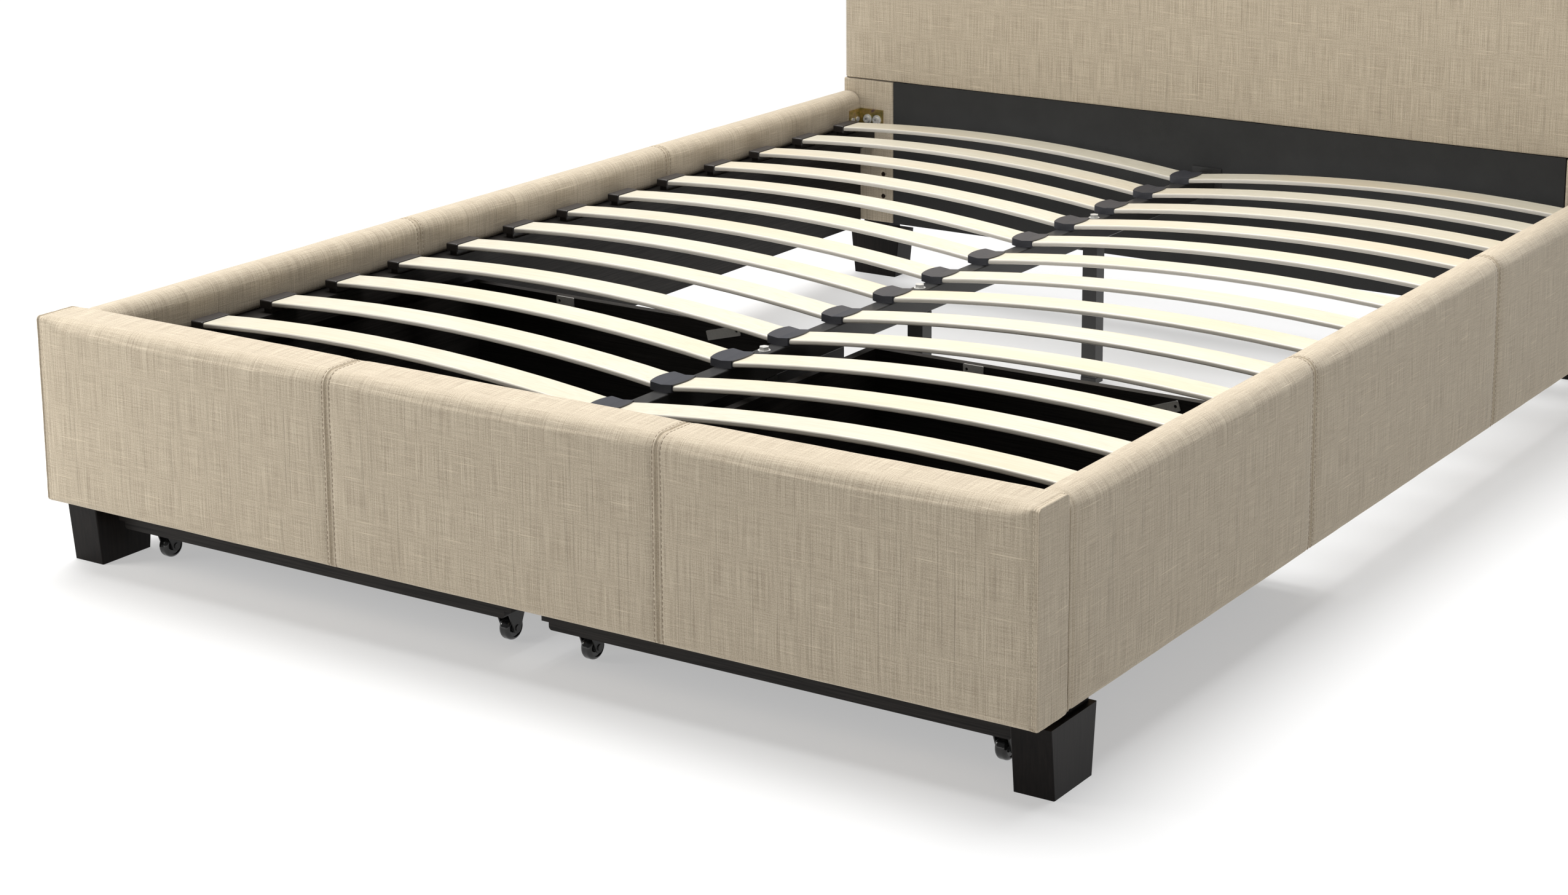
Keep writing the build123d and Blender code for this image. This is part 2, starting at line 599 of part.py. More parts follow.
def caster_fork(x, y):
    """Fixed fork with its mounting flange, closed front and back, and riveted axle."""
    inner = WHEEL_WIDTH / 2 + FORK_GAP
    outer = inner + FORK_PLATE
    fork = caster_cheek(x - outer, x - inner, y) + caster_cheek(x + inner, x + outer, y)
    for end in (-1, 1):
        fork += block(x - outer, x + outer, y + end * (FORK_HALF_DEPTH - FORK_PLATE),
                      y + end * FORK_HALF_DEPTH, FORK_SHOULDER, DRAWER_BOTTOM)
    fork += block(x - outer - FORK_FLANGE, x + outer + FORK_FLANGE, y - FORK_HALF_DEPTH,
                  y + FORK_HALF_DEPTH, DRAWER_BOTTOM - FORK_PLATE, DRAWER_BOTTOM)
    fork += rod_x(AXLE_RADIUS, x - outer, x + outer, y, WHEEL_RADIUS)
    for end in (-1, 1):
        fork += rod_x(RIVET_RADIUS, x + end * outer, x + end * (outer + RIVET_HEIGHT),
                      y, WHEEL_RADIUS)
    return fork


# ---------------------------------------------------------------- write every piece

def write_frame():
    """Pieces that stay where they stand."""
    for name, side in SIDES:
        save(f"{name}_rail_core", [rail_core(side)])
        save(f"{name}_rail_liner", [rail_liner(side)])
        save(f"{name}_rail_cover", [rail_cover(side)])
        save(f"{name}_slat_ledge", [slat_ledge(side)])
        save(f"front_{name}_foot", [front_foot(side)])
        save(f"rear_{name}_foot", [rear_foot(side)])
    save("foot_cross_rail", [foot_cross_rail()])
    save("headboard_frame", headboard_frame())
    save("headboard_cover", [headboard_pad(), headboard_leg_sleeve(-1), headboard_leg_sleeve(1)])
    save("headboard_lower_panel", [headboard_lower_panel()])
    save("headboard_back_cloth", [headboard_back_cloth()])
    save("corner_brackets", [corner_bracket(-1), corner_bracket(1)])
    save("frame_bolts", frame_bolts())


def write_slats():
    """Slat rows, their holders and the centre support."""
    rows = range(SLAT_ROWS)
    for row in rows:
        save(f"slat_row_{row + 1:02d}", [slat(-1, row), slat(1, row)])
    save("left_slat_caps", [side_cap(-1, row) for row in rows])
    save("centre_slat_caps", [centre_cap(row) for row in rows])
    save("right_slat_caps", [side_cap(1, row) for row in rows])
    save("centre_beam", [centre_beam()])
    posts = [solid for y in post_centres() for solid in centre_post(y)]
    save("centre_posts", posts)
    head_board = HEAD_FACE + LOWER_PANEL_SET_BACK
    save("beam_hangers", [beam_hanger(CROSS_RAIL_BACK, 1), beam_hanger(head_board, -1)])


def write_roll_out():
    """Footboard, the two drawers behind it and their casters."""
    save("footboard_core", [footboard_core()])
    save("footboard_cover", [footboard_cover()])
    for name, side in SIDES:
        save(f"{name}_drawer_front", [drawer_front(side)])
        save(f"{name}_drawer_back", [drawer_back(side)])
        save(f"{name}_drawer_inner_side", [drawer_side(side, DRAWER_INNER)])
        save(f"{name}_drawer_outer_side", [drawer_side(side, DRAWER_OUTER - DRAWER_BOARD)])
        save(f"{name}_drawer_floor", [drawer_floor(side)])
    save("drawer_stop_tabs", [stop_tab(*tab) for tab in STOP_TABS])
    save("caster_forks", [caster_fork(x, y) for _, x, y in caster_places()])
    for name, x, y in caster_places():
        save(name, [wheel(x, y)])


os.makedirs("parts", exist_ok=True)
write_frame()
write_slats()
write_roll_out()
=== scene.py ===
# %% [markdown]
# # An upholstered bed with a roll-out drawer unit
# The bed arrives as a fixed frame: every board, slat, bolt and wheel already has its real size and
# place, in metres. This lesson adds what the frame cannot show: linen that is padded over boards,
# sewn seams, and a believable finish on every part. The frame comes first, because all later
# positions are read from it.

# %% Load the frame
import json
import math

import bpy
import numpy as np
from mathutils import Matrix, Vector, noise
from mathutils.bvhtree import BVHTree


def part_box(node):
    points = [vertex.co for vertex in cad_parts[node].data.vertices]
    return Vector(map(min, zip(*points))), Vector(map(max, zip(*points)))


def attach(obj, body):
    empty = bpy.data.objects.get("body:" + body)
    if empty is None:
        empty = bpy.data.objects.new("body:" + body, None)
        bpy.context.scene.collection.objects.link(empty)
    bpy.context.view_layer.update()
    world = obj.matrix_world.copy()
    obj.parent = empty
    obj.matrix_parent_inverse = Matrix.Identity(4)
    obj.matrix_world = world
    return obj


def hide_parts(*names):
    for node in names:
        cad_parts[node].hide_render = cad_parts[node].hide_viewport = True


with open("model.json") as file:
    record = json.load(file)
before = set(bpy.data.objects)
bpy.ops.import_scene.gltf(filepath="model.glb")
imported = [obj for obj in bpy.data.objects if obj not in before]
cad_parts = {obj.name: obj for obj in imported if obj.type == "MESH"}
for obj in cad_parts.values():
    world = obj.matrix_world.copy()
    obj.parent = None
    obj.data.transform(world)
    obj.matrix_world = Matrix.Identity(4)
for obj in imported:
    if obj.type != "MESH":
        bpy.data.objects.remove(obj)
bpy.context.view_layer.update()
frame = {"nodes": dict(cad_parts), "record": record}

MM = 0.001
NODES = frame["nodes"]

# %% [markdown]
# ## Camera
# The bed is seen from its front right corner, standing, with a long lens. The lens is shifted
# instead of tilted further, so that upright edges stay nearly upright and the far end of the bed may
# leave the picture.

# %% Camera
CAMERA_PLACE = (2.459, -4.041, 1.502)
CAMERA_TURN = math.radians(32.03)
CAMERA_TILT = math.radians(12.75)
LENS = 70.04
LENS_SHIFT = (-0.0664, -0.155)


def add_camera():
    """Long-lens camera at standing height, off the front right corner."""
    data = bpy.data.cameras.new("studio_camera")
    data.sensor_width = 36.0
    data.lens = LENS
    data.shift_x, data.shift_y = LENS_SHIFT
    data.clip_start, data.clip_end = 0.05, 60.0
    camera = bpy.data.objects.new("studio_camera", data)
    camera.location = CAMERA_PLACE
    camera.rotation_euler = (math.pi / 2 - CAMERA_TILT, 0.0, CAMERA_TURN)
    bpy.context.scene.collection.objects.link(camera)
    bpy.context.scene.camera = camera
    return camera


print("camera lens", add_camera().data.lens, "mm")

# %% [markdown]
# ## Selecting in code
# Operators act on whatever is selected, so each step first deselects everything and then picks
# vertices or edges by where they are. These small helpers are used by every piece below.

# %% Selection helpers
CLOSE = 1e-5


def only(piece):
    """Make one object the only selected and active one, in object mode."""
    if bpy.context.object and bpy.context.object.mode != "OBJECT":
        bpy.ops.object.mode_set(mode="OBJECT")
    bpy.ops.object.select_all(action="DESELECT")
    piece.select_set(True)
    bpy.context.view_layer.objects.active = piece
    return piece


def pick(piece, kind, wanted):
    """Select the vertices or edges that pass a test, and go into edit mode."""
    only(piece)
    bpy.ops.object.mode_set(mode="EDIT")
    bpy.ops.mesh.select_mode(type=kind)
    bpy.ops.mesh.select_all(action="DESELECT")
    bpy.ops.object.mode_set(mode="OBJECT")
    mesh = piece.data
    if kind == "VERT":
        for vertex in mesh.vertices:
            vertex.select = wanted(vertex.co)
    if kind == "EDGE":
        for edge in mesh.edges:
            edge.select = wanted(*(mesh.vertices[i].co for i in edge.vertices))
    bpy.ops.object.mode_set(mode="EDIT")


def done(piece):
    """Leave edit mode and hand the piece back."""
    bpy.ops.object.mode_set(mode="OBJECT")
    return piece


def block(name, low, high):
    """A box between two corners, with its place in its mesh."""
    low, high = Vector(low), Vector(high)
    bpy.ops.object.select_all(action="DESELECT")
    bpy.ops.mesh.primitive_cube_add(size=1.0, location=(low + high) / 2, scale=high - low)
    piece = bpy.context.object
    piece.name = name
    piece.data.name = name
    bpy.ops.object.transform_apply(location=True, rotation=True, scale=True)
    return piece


def cut(piece, axis, places):
    """Cut straight through a mesh with planes across one axis."""
    only(piece)
    normal = [0.0, 0.0, 0.0]
    normal[axis] = 1.0
    bpy.ops.object.mode_set(mode="EDIT")
    for place in places:
        point = [0.0, 0.0, 0.0]
        point[axis] = place
        bpy.ops.mesh.select_all(action="SELECT")
        bpy.ops.mesh.bisect(plane_co=point, plane_no=normal)
    return done(piece)


def apply_modifiers(piece):
    """Turn every modifier of a piece into real mesh."""
    only(piece)
    for modifier in list(piece.modifiers):
        bpy.ops.object.modifier_apply(modifier=modifier.name)
    return piece


def steps(start, end, size):
    """Evenly spaced places between two ends, both left out, about size apart."""
    count = max(1, round((end - start) / size))
    return [start + (end - start) * i / count for i in range(1, count)]


# %% [markdown]
# ## Finishes
# Each finish is a small node tree around one Principled shader. Patterns read Object coordinates in
# metres, so that they keep their real scale on every part, and only the linen reads a UV map, because
# cloth threads follow the surface round a corner. These helpers keep each recipe short.

# %% Node helpers
def finish_base(name, roughness, metallic=0.0):
    """A new material with its Principled shader's constant sockets set."""
    material = bpy.data.materials.new(name)
    material.use_nodes = True
    shader = material.node_tree.nodes["Principled BSDF"]
    shader.inputs["Roughness"].default_value = roughness
    shader.inputs["Metallic"].default_value = metallic
    return material, shader


def add_node(material, kind, **settings):
    """A node whose properties and numbered or named inputs are set from keywords."""
    node = material.node_tree.nodes.new(kind)
    for key, value in settings.items():
        if hasattr(node, key):
            setattr(node, key, value)
        else:
            node.inputs[key].default_value = value
    return node


def link(material, source, target):
    """Join an output socket to an input socket."""
    material.node_tree.links.new(source, target)


def place_of(material, scale):
    """Object coordinates in metres, stretched."""
    coordinates = add_node(material, "ShaderNodeTexCoord")
    mapping = add_node(material, "ShaderNodeMapping", Scale=scale)
    link(material, coordinates.outputs["Object"], mapping.inputs["Vector"])
    return mapping.outputs["Vector"]


def noise_of(material, vector, detail=2.0, roughness=0.5):
    """Noise on an already scaled vector."""
    node = add_node(material, "ShaderNodeTexNoise", Scale=1.0, Detail=detail, Roughness=roughness)
    link(material, vector, node.inputs["Vector"])
    return node.outputs["Fac"]


def ramp(material, value, *stops):
    """Colours or greys between positions, as (position, colour) pairs."""
    node = add_node(material, "ShaderNodeValToRGB")
    elements = node.color_ramp.elements
    while len(elements) < len(stops):
        elements.new(0.5)
    for element, (position, colour) in zip(elements, stops):
        element.position = position
        element.color = colour if len(colour) == 4 else (*colour, 1.0)
    link(material, value, node.inputs["Fac"])
    return node.outputs["Color"]


def grey(level):
    """A grey as a ramp colour."""
    return (level, level, level)


def mix(material, factor, first, second):
    """Mix two colours or links by a factor, which may be a link or a number."""
    node = add_node(material, "ShaderNodeMix", data_type="RGBA")
    for socket, value in ((node.inputs[0], factor), (node.inputs[6], first), (node.inputs[7], second)):
        if isinstance(value, bpy.types.NodeSocket):
            link(material, value, socket)
        else:
            socket.default_value = value if isinstance(value, float) else (*value, 1.0)
    return node.outputs[2]


def maths(material, operation, first, second=0.0):
    """One arithmetic step between links or numbers."""
    node = add_node(material, "ShaderNodeMath", operation=operation)
    for socket, value in zip(node.inputs, (first, second)):
        if isinstance(value, bpy.types.NodeSocket):
            link(material, value, socket)
        else:
            socket.default_value = value
    return node.outputs[0]


def bump(material, shader, height, distance, strength=1.0):
    """Raise the surface by a height pattern, distance in metres."""
    node = add_node(material, "ShaderNodeBump", Strength=strength, Distance=distance)
    link(material, height, node.inputs["Height"])
    link(material, node.outputs["Normal"], shader.inputs["Normal"])


# %% [markdown]
# ### Linen
# Upholstery linen is a plain weave of uneven yarns. What the eye reads at arm's length is not the
# weave itself but the long thick and thin stretches of single yarns, the slubs, running both ways.
# So two noises are stretched a hundredfold along each thread direction, crossed, and joined by a few
# brighter slubs, and the same pattern lifts the surface a fraction of a millimetre.

# %% Linen finish
def thread_noise(material, along, across, upright, detail):
    """Noise drawn out along one thread direction of the cloth map, in cycles per metre."""
    scale = (across, along, 1.0) if upright else (along, across, 1.0)
    cloth_map = add_node(material, "ShaderNodeUVMap", uv_map="weave")
    mapping = add_node(material, "ShaderNodeMapping", Scale=scale)
    link(material, cloth_map.outputs["UV"], mapping.inputs["Vector"])
    return noise_of(material, mapping.outputs["Vector"], detail, 0.55)


def linen_finish(name, light, dark):
    """Slubby plain-weave linen: fine weave, long upright yarns, and short bright level slubs."""
    material, shader = finish_base(name, 0.88)
    shader.inputs["Sheen Weight"].default_value = 0.2
    shader.inputs["Sheen Roughness"].default_value = 0.45
    shader.inputs["Specular IOR Level"].default_value = 0.25
    weave = thread_noise(material, 560.0, 720.0, True, 2.0)
    upright = thread_noise(material, 14.0, 640.0, True, 1.0)
    level = thread_noise(material, 20.0, 640.0, False, 1.0)
    crossed = maths(material, "ADD", maths(material, "MULTIPLY", upright, 0.36),
                    maths(material, "MULTIPLY", level, 0.24))
    crossed = maths(material, "ADD", crossed, maths(material, "MULTIPLY", weave, 0.40))
    colour = ramp(material, crossed, (0.38, dark), (0.62, light))
    slub_colour = tuple(min(1.0, c * 1.32) for c in light)
    dark_yarn = tuple(c * 0.66 for c in dark)
    long_yarn = ramp(material, thread_noise(material, 3.6, 430.0, True, 1.0),
                     (0.64, grey(0.0)), (0.70, grey(0.42)))
    colour = mix(material, long_yarn, colour, dark_yarn)
    slubs = []
    for is_upright, along, across, amount in ((False, 11.0, 400.0, 0.42), (True, 7.0, 480.0, 0.34)):
        slub = thread_noise(material, along, across, is_upright, 1.0)
        slubs.append(ramp(material, slub, (0.67, grey(0.0)), (0.74, grey(amount))))
        colour = mix(material, slubs[-1], colour, slub_colour)
    patches = noise_of(material, place_of(material, (5.0, 5.0, 5.0)), 3.0)
    colour = mix(material, ramp(material, patches, (0.3, grey(0.0)), (0.7, grey(0.07))), colour, dark)
    link(material, colour, shader.inputs["Base Color"])
    height = maths(material, "ADD", crossed, maths(material, "MULTIPLY", slubs[0], 0.5))
    height = maths(material, "ADD", height, maths(material, "MULTIPLY", slubs[1], 0.5))
    height = maths(material, "SUBTRACT", height, maths(material, "MULTIPLY", long_yarn, 0.3))
    bump(material, shader, height, 0.8 * MM, 0.8)
    return material


LINEN = linen_finish("beige_linen", (0.61, 0.53, 0.405), (0.37, 0.305, 0.225))


def thread_finish(name, light, dark):
    """Twisted thread: fine bands of light and shade along it."""
    material, shader = finish_base(name, 0.7)
    twist = noise_of(material, place_of(material, (900.0, 900.0, 900.0)), 1.0)
    link(material, ramp(material, twist, (0.35, dark), (0.65, light)), shader.inputs["Base Color"])
    return material


PALE_THREAD = thread_finish("pale_thread", (0.72, 0.64, 0.50), (0.54, 0.46, 0.34))
# The seam topstitch thread is painted dark brown as painted shade, standing for the shadow in its stitch
# holes; the end-corner topstitch keeps the pale thread.
PAINTED_SHADE_THREAD = thread_finish("painted_shade_thread", (0.34, 0.27, 0.19), (0.22, 0.17, 0.12))
print("linen and thread ready")

# %% [markdown]
# ### Wood
# Three woods: birch slats, dark stained feet, and the plain timber hidden inside. The slats are bent
# from glued layers, and the layers show as fine lines on their long edges only. Distance from the
# centre of a slat's curve is the same all along one layer, so that distance picks the layer.

# %% Birch slats
SLAT_THICKNESS = 8 * MM
SLAT_RISE = 20 * MM
SLAT_ENDS = ((4 * MM, 303 * MM), (756 * MM, 321 * MM))
LAYERS = 6
SLAT_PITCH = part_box("slat_row_02")[0].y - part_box("slat_row_01")[0].y


def slat_curve():
    """Radius of a slat's upper face and the centre of its arc, from its two ends and its rise."""
    (inner, low), (outer, high) = SLAT_ENDS
    half_chord = math.dist(*SLAT_ENDS) / 2
    radius = (half_chord ** 2 + SLAT_RISE ** 2) / (2 * SLAT_RISE)
    tilt = math.atan2(high - low, outer - inner)
    reach = radius - SLAT_RISE
    centre_x = (inner + outer) / 2 + math.sin(tilt) * reach
    return radius + SLAT_THICKNESS / 2, centre_x, (low + high) / 2 - math.cos(tilt) * reach


def birch_finish():
    """Pale birch with long faint grain on the faces and glue lines on the edges."""
    material, shader = finish_base("birch_veneer", 0.42)
    shader.inputs["Coat Weight"].default_value = 0.15
    shader.inputs["Coat Roughness"].default_value = 0.35
    radius, centre_x, centre_z = slat_curve()
    coordinates = add_node(material, "ShaderNodeTexCoord").outputs["Object"]
    split = add_node(material, "ShaderNodeSeparateXYZ")
    link(material, coordinates, split.inputs[0])
    reach = maths(material, "SUBTRACT", maths(material, "ABSOLUTE", split.outputs["X"]), centre_x)
    climb = maths(material, "SUBTRACT", split.outputs["Z"], centre_z)
    squares = maths(material, "ADD", maths(material, "MULTIPLY", reach, reach),
                    maths(material, "MULTIPLY", climb, climb))
    depth = maths(material, "SUBTRACT", radius, maths(material, "SQRT", squares))
    layer = maths(material, "FRACT", maths(material, "MULTIPLY", depth, LAYERS / SLAT_THICKNESS))
    glue = ramp(material, layer, (0.0, grey(0.55)), (0.12, grey(0.0)), (0.9, grey(0.0)), (1.0, grey(0.55)))
    grain = noise_of(material, place_of(material, (6.0, 420.0, 420.0)), 4.0, 0.6)
    colour = ramp(material, grain, (0.3, (0.54, 0.50, 0.385)), (0.62, (0.64, 0.60, 0.495)))
    board = noise_of(material, place_of(material, (2.2, 1.0 / SLAT_PITCH * 0.9, 0.0)), 1.0)
    warm = ramp(material, board, (0.46, grey(0.0)), (0.70, grey(0.42)))
    colour = mix(material, warm, colour, (0.62, 0.50, 0.33))
    normal = add_node(material, "ShaderNodeNewGeometry").outputs["Normal"]
    upward = add_node(material, "ShaderNodeSeparateXYZ")
    link(material, normal, upward.inputs[0])
    level = maths(material, "ABSOLUTE", upward.outputs["Z"])
    edge = ramp(material, level, (0.55, grey(1.0)), (0.9, grey(0.0)))
    edge_colour = mix(material, glue, (0.60, 0.565, 0.50), (0.40, 0.35, 0.28))
    colour = mix(material, edge, colour, edge_colour)
    link(material, colour, shader.inputs["Base Color"])
    bump(material, shader, grain, 0.15 * MM, 0.5)
    return material


BIRCH = birch_finish()


# %% Stained feet, timber and drawer board
def wood_finish(name, dark, light, roughness, stretch, gloss=0.5, relief=0.1):
    """Wood whose grain runs along the axis with the smallest number in stretch."""
    material, shader = finish_base(name, roughness)
    shader.inputs["Specular IOR Level"].default_value = gloss
    grain = noise_of(material, place_of(material, stretch), 5.0, 0.62)
    link(material, ramp(material, grain, (0.32, dark), (0.68, light)), shader.inputs["Base Color"])
    bump(material, shader, grain, relief * MM, 0.6)
    return material


ESPRESSO = wood_finish("espresso_stain", (0.003, 0.0022, 0.002), (0.009, 0.0065, 0.0055), 0.38,
                       (260.0, 260.0, 14.0), gloss=0.12)
TIMBER = wood_finish("pine_timber", (0.45, 0.30, 0.16), (0.66, 0.48, 0.28), 0.6, (12.0, 160.0, 160.0))
BOARD = wood_finish("black_grained_board", (0.010, 0.009, 0.0085), (0.030, 0.027, 0.025), 0.42,
                    (9.0, 9.0, 420.0), gloss=0.15, relief=0.2)
print("wood ready")

# %% [markdown]
# ### Plastics, metals and lining
# Slat holders are moulded plastic with a fine grain that scatters light into a grey sheen. The beam and
# posts are powder-coated steel. Zinc plate turns yellow, green and violet in patches, so its colour is
# mixed by a soft noise.

# %% Plastics, metals and lining
def grained_finish(name, dark, light, roughness, grain_size, relief, metallic=0.0):
    """A fine even grain: moulded plastic, powder coat or pressed cloth."""
    material, shader = finish_base(name, roughness, metallic)
    per_metre = 1.0 / grain_size
    grain = noise_of(material, place_of(material, (per_metre,) * 3), 2.0, 0.6)
    wear = noise_of(material, place_of(material, (18.0, 18.0, 18.0)), 3.0, 0.6)
    colour = mix(material, grain, dark, light)
    tone = ramp(material, wear, (0.35, grey(0.0)), (0.7, grey(0.45)))
    link(material, mix(material, tone, colour, light), shader.inputs["Base Color"])
    bump(material, shader, grain, relief, 0.6)
    return material, shader


CENTRE_PLASTIC, _ = grained_finish("charcoal_plastic", (0.022, 0.023, 0.028), (0.048, 0.049, 0.058),
                                   0.38, 1.2 * MM, 0.08 * MM)
SIDE_PLASTIC, _ = grained_finish("black_plastic", (0.012, 0.0095, 0.0085), (0.028, 0.023, 0.021),
                                 0.42, 1.2 * MM, 0.08 * MM)
STEEL, _ = grained_finish("black_powder_coat", (0.012, 0.012, 0.012), (0.030, 0.029, 0.028),
                                     0.36, 1.5 * MM, 0.05 * MM)
LINING, _ = grained_finish("black_lining", (0.014, 0.014, 0.014), (0.032, 0.032, 0.031),
                           0.9, 0.9 * MM, 0.25 * MM)
WHEEL, wheel_shader = grained_finish("glossy_black_nylon", (0.008, 0.008, 0.008), (0.014, 0.014, 0.014),
                                     0.16, 3.0 * MM, 0.02 * MM)
wheel_shader.inputs["Coat Weight"].default_value = 0.5
NICKEL, _ = grained_finish("nickel_plate", (0.50, 0.49, 0.46), (0.72, 0.71, 0.68),
                           0.34, 2.0 * MM, 0.03 * MM, 0.3)


def zinc_finish():
    """Yellow passivated zinc plate with patches of green and violet."""
    material, shader = finish_base("yellow_zinc_plate", 0.34, 0.9)
    patches = noise_of(material, place_of(material, (55.0, 55.0, 90.0)), 3.0, 0.6)
    colour = ramp(material, patches, (0.30, (0.16, 0.17, 0.09)), (0.45, (0.42, 0.34, 0.12)),
                  (0.60, (0.62, 0.46, 0.20)), (0.74, (0.30, 0.20, 0.22)))
    link(material, colour, shader.inputs["Base Color"])
    bump(material, shader, patches, 0.1 * MM, 0.4)
    return material


ZINC = zinc_finish()
print("plastics and metals ready")


# %% [markdown]
# ## Dressing the frame
# Most of the frame is right as it stands and only needs its finish. The record names a finish for each
# part, so one table from that name to a material dresses all of them in a loop.

# %% Dress the frame
FINISHES = {
    "linen": LINEN, "frame_timber": TIMBER, "black_board": BOARD, "black_cloth": LINING,
    "espresso_wood": ESPRESSO, "birch_slat": BIRCH, "cap_plastic": SIDE_PLASTIC,
    "black_steel": STEEL, "yellow_zinc": ZINC, "nickel_steel": NICKEL, "wheel_plastic": WHEEL,
}


def dress():
    """Give every part the finish that the record names for it."""
    parts = frame["record"]["subparts"]
    for part in parts:
        materials = NODES[part["node"]].data.materials
        materials.clear()
        materials.append(FINISHES[part["material_slot"]])
    return len(parts)


print("dressed", dress(), "parts")
NODES["centre_slat_caps"].data.materials[0] = CENTRE_PLASTIC

# %% [markdown]
# ## Upholstery
# Each upholstered board is a wooden core under a thin foam sheet, with linen stapled on from behind.
# The linen is cut in panels, and each join is turned under and topstitched on both sides, so a join is
# a narrow pressed line between two soft lips, with a row of stitches beside each lip. The board starts as a
# block with its long edges rounded, and is cut into a grid that has a line on every seam. A short
# cloth simulation with air inside swells each panel between the seams and the stapled back, and each
# point is held within a few millimetres, because the foam is thin. The grooves come after that, since
# they are narrower than the grid.

# %% Swelling a cover
GRID = 25 * MM
AIR_PRESSURE = 4.0
CLOTH_FRAMES = 20


def coordinates(piece):
    """All vertex places of a piece as an array."""
    places = np.empty(len(piece.data.vertices) * 3)
    piece.data.vertices.foreach_get("co", places)
    return places.reshape(-1, 3)


def soften(piece, radius, segments, wanted):
    """Round the edges that pass a test."""
    pick(piece, "EDGE", wanted)
    bpy.ops.mesh.bevel(offset=radius, segments=segments, profile=0.5, affect="EDGES")
    return done(piece)


def swell(piece, most, is_held):
    """Blow a closed cover up with the Cloth modifier, and keep each point within a distance."""
    start = coordinates(piece)
    outward = np.array([vertex.normal for vertex in piece.data.vertices])
    held = piece.vertex_groups.new(name="held")
    held.add([v.index for v in piece.data.vertices if is_held(v.co)], 1.0, "REPLACE")
    only(piece)
    bpy.ops.object.modifier_add(type="CLOTH")
    cloth = piece.modifiers[-1]
    cloth.settings.vertex_group_mass = "held"
    cloth.settings.use_pressure = True
    cloth.settings.uniform_pressure_force = AIR_PRESSURE
    cloth.settings.effector_weights.gravity = 0.0
    cloth.point_cache.frame_end = CLOTH_FRAMES
    for number in range(1, CLOTH_FRAMES + 1):
        bpy.context.scene.frame_set(number)
    apply_modifiers(piece)
    bpy.context.scene.frame_set(1)
    far = np.maximum(((coordinates(piece) - start) * outward).sum(axis=1, keepdims=True), 0.0)
    places = start + outward * most * np.tanh(far / most)
    piece.data.vertices.foreach_set("co", places.ravel())
    piece.vertex_groups.clear()
    print(piece.name, "swelled by at most", round(float(far.max()) * 1000, 1), "mm before the cap")
    return piece


# %% [markdown]
# A seam is a set of close loops beside the seam line. On the line the two turned edges meet in a low
# ridge, with a narrow groove on each side. The loops beyond the grooves stand proud as lips, and the
# loops under the stitches are drawn in again. At the end of a board the same idea runs once round the
# corner, where the front panel meets the flat end panel. Each pair is a distance and a depth in mm.

# %% Seams
SEAM = ((0.0, -0.8), (1.3, -3.2), (2.8, 0.1), (4.4, 0.3), (6.5, -1.1), (9.5, 0.2))
END_SEAM = ((0.0, -0.6), (1.4, 0.1), (2.8, -1.7), (4.4, -1.2), (8.0, -1.6), (11.5, -0.5), (16.0, 0.0))
STITCH_ROW = 6.5 * MM
END_STITCH_ROW = 8.0 * MM


def seam_places(seams, ends):
    """Where the close loops lie beside seams and inside the two ends, with the depth of each."""
    places = {}
    for offset, depth in SEAM:
        for seam in seams:
            places[seam - offset * MM] = places[seam + offset * MM] = depth
    for offset, depth in END_SEAM:
        for end, inward in ends:
            places[end + inward * offset * MM] = depth
    return places


def press_seams(piece, axis, places, is_shown):
    """Cut the close loops across an axis and move each one in or out along its normals."""
    cut(piece, axis, places)
    mesh = piece.data
    moves = []
    for vertex in mesh.vertices:
        depth = [d for place, d in places.items() if abs(vertex.co[axis] - place) < 0.05 * MM]
        if depth and is_shown(vertex):
            away = vertex.normal.copy()
            away[axis] = 0.0
            moves.append((vertex.index, away * depth[0] * MM))
    for index, move in moves:
        mesh.vertices[index].co += move
    return piece


def finish_cover(piece, levels, seed, seams=(), axis=0):
    """Subdivide, then let the cloth lie a little unevenly, most of all beside the seams."""
    only(piece)
    modifier = piece.modifiers.new("smooth", "SUBSURF")
    modifier.levels = modifier.render_levels = levels
    apply_modifiers(piece)
    shift = Vector((seed, seed * 0.7, seed * 1.3))
    moves = []
    for vertex in piece.data.vertices:
        gap = min((abs(vertex.co[axis] - seam) for seam in seams), default=1.0)
        pucker = 0.45 * math.exp(-gap / (11 * MM))
        lift = 0.35 * noise.noise(vertex.co * 9 + shift) + 0.22 * noise.noise(vertex.co * 26 + shift)
        lift += pucker * noise.noise(vertex.co * 85 + shift)
        moves.append(vertex.normal * lift * MM)
    for vertex, move in zip(piece.data.vertices, moves):
        vertex.co += move
    only(piece)
    bpy.ops.object.shade_smooth()
    piece.data.materials.clear()
    piece.data.materials.append(LINEN)
    return piece


# %% [markdown]
# The weave follows the cloth over the rounded edges, so its map is measured along the board one way and
# round the board's outline the other way. The outline is a list of points, and each vertex takes the
# distance along it of the nearest point. End panels are flat and are mapped straight on.

# %% Weave map
def outline(near, far, bottom, top, near_round, far_round):
    """Across a board's thickness: up one face, over the rounded top, and down the other face."""
    way = 1 if far > near else -1
    points = [(near, bottom)]
    for i in range(7):
        turn = math.pi / 2 * i / 6
        points.append((near + way * near_round * (1 - math.cos(turn)),
                       top - near_round * (1 - math.sin(turn))))
    for i in range(7):
        turn = math.pi / 2 * i / 6
        points.append((far - way * far_round * (1 - math.sin(turn)),
                       top - far_round * (1 - math.cos(turn))))
    return points + [(far, bottom)]


def along_outline(points, places):
    """Distance along a list of points of the nearest point on it, for many places at once."""
    best = np.full(len(places), 1e9)
    found = np.zeros(len(places))
    walked = 0.0
    for start, end in zip(np.array(points[:-1]), np.array(points[1:])):
        run = end - start
        length = float(np.linalg.norm(run))
        if length < 1e-9:
            continue
        share = np.clip((places - start) @ run / length ** 2, 0.0, 1.0)
        gap = np.linalg.norm(places - (start + share[:, None] * run), axis=1)
        found = np.where(gap < best, walked + share * length, found)
        best = np.minimum(best, gap)
        walked += length
    return found


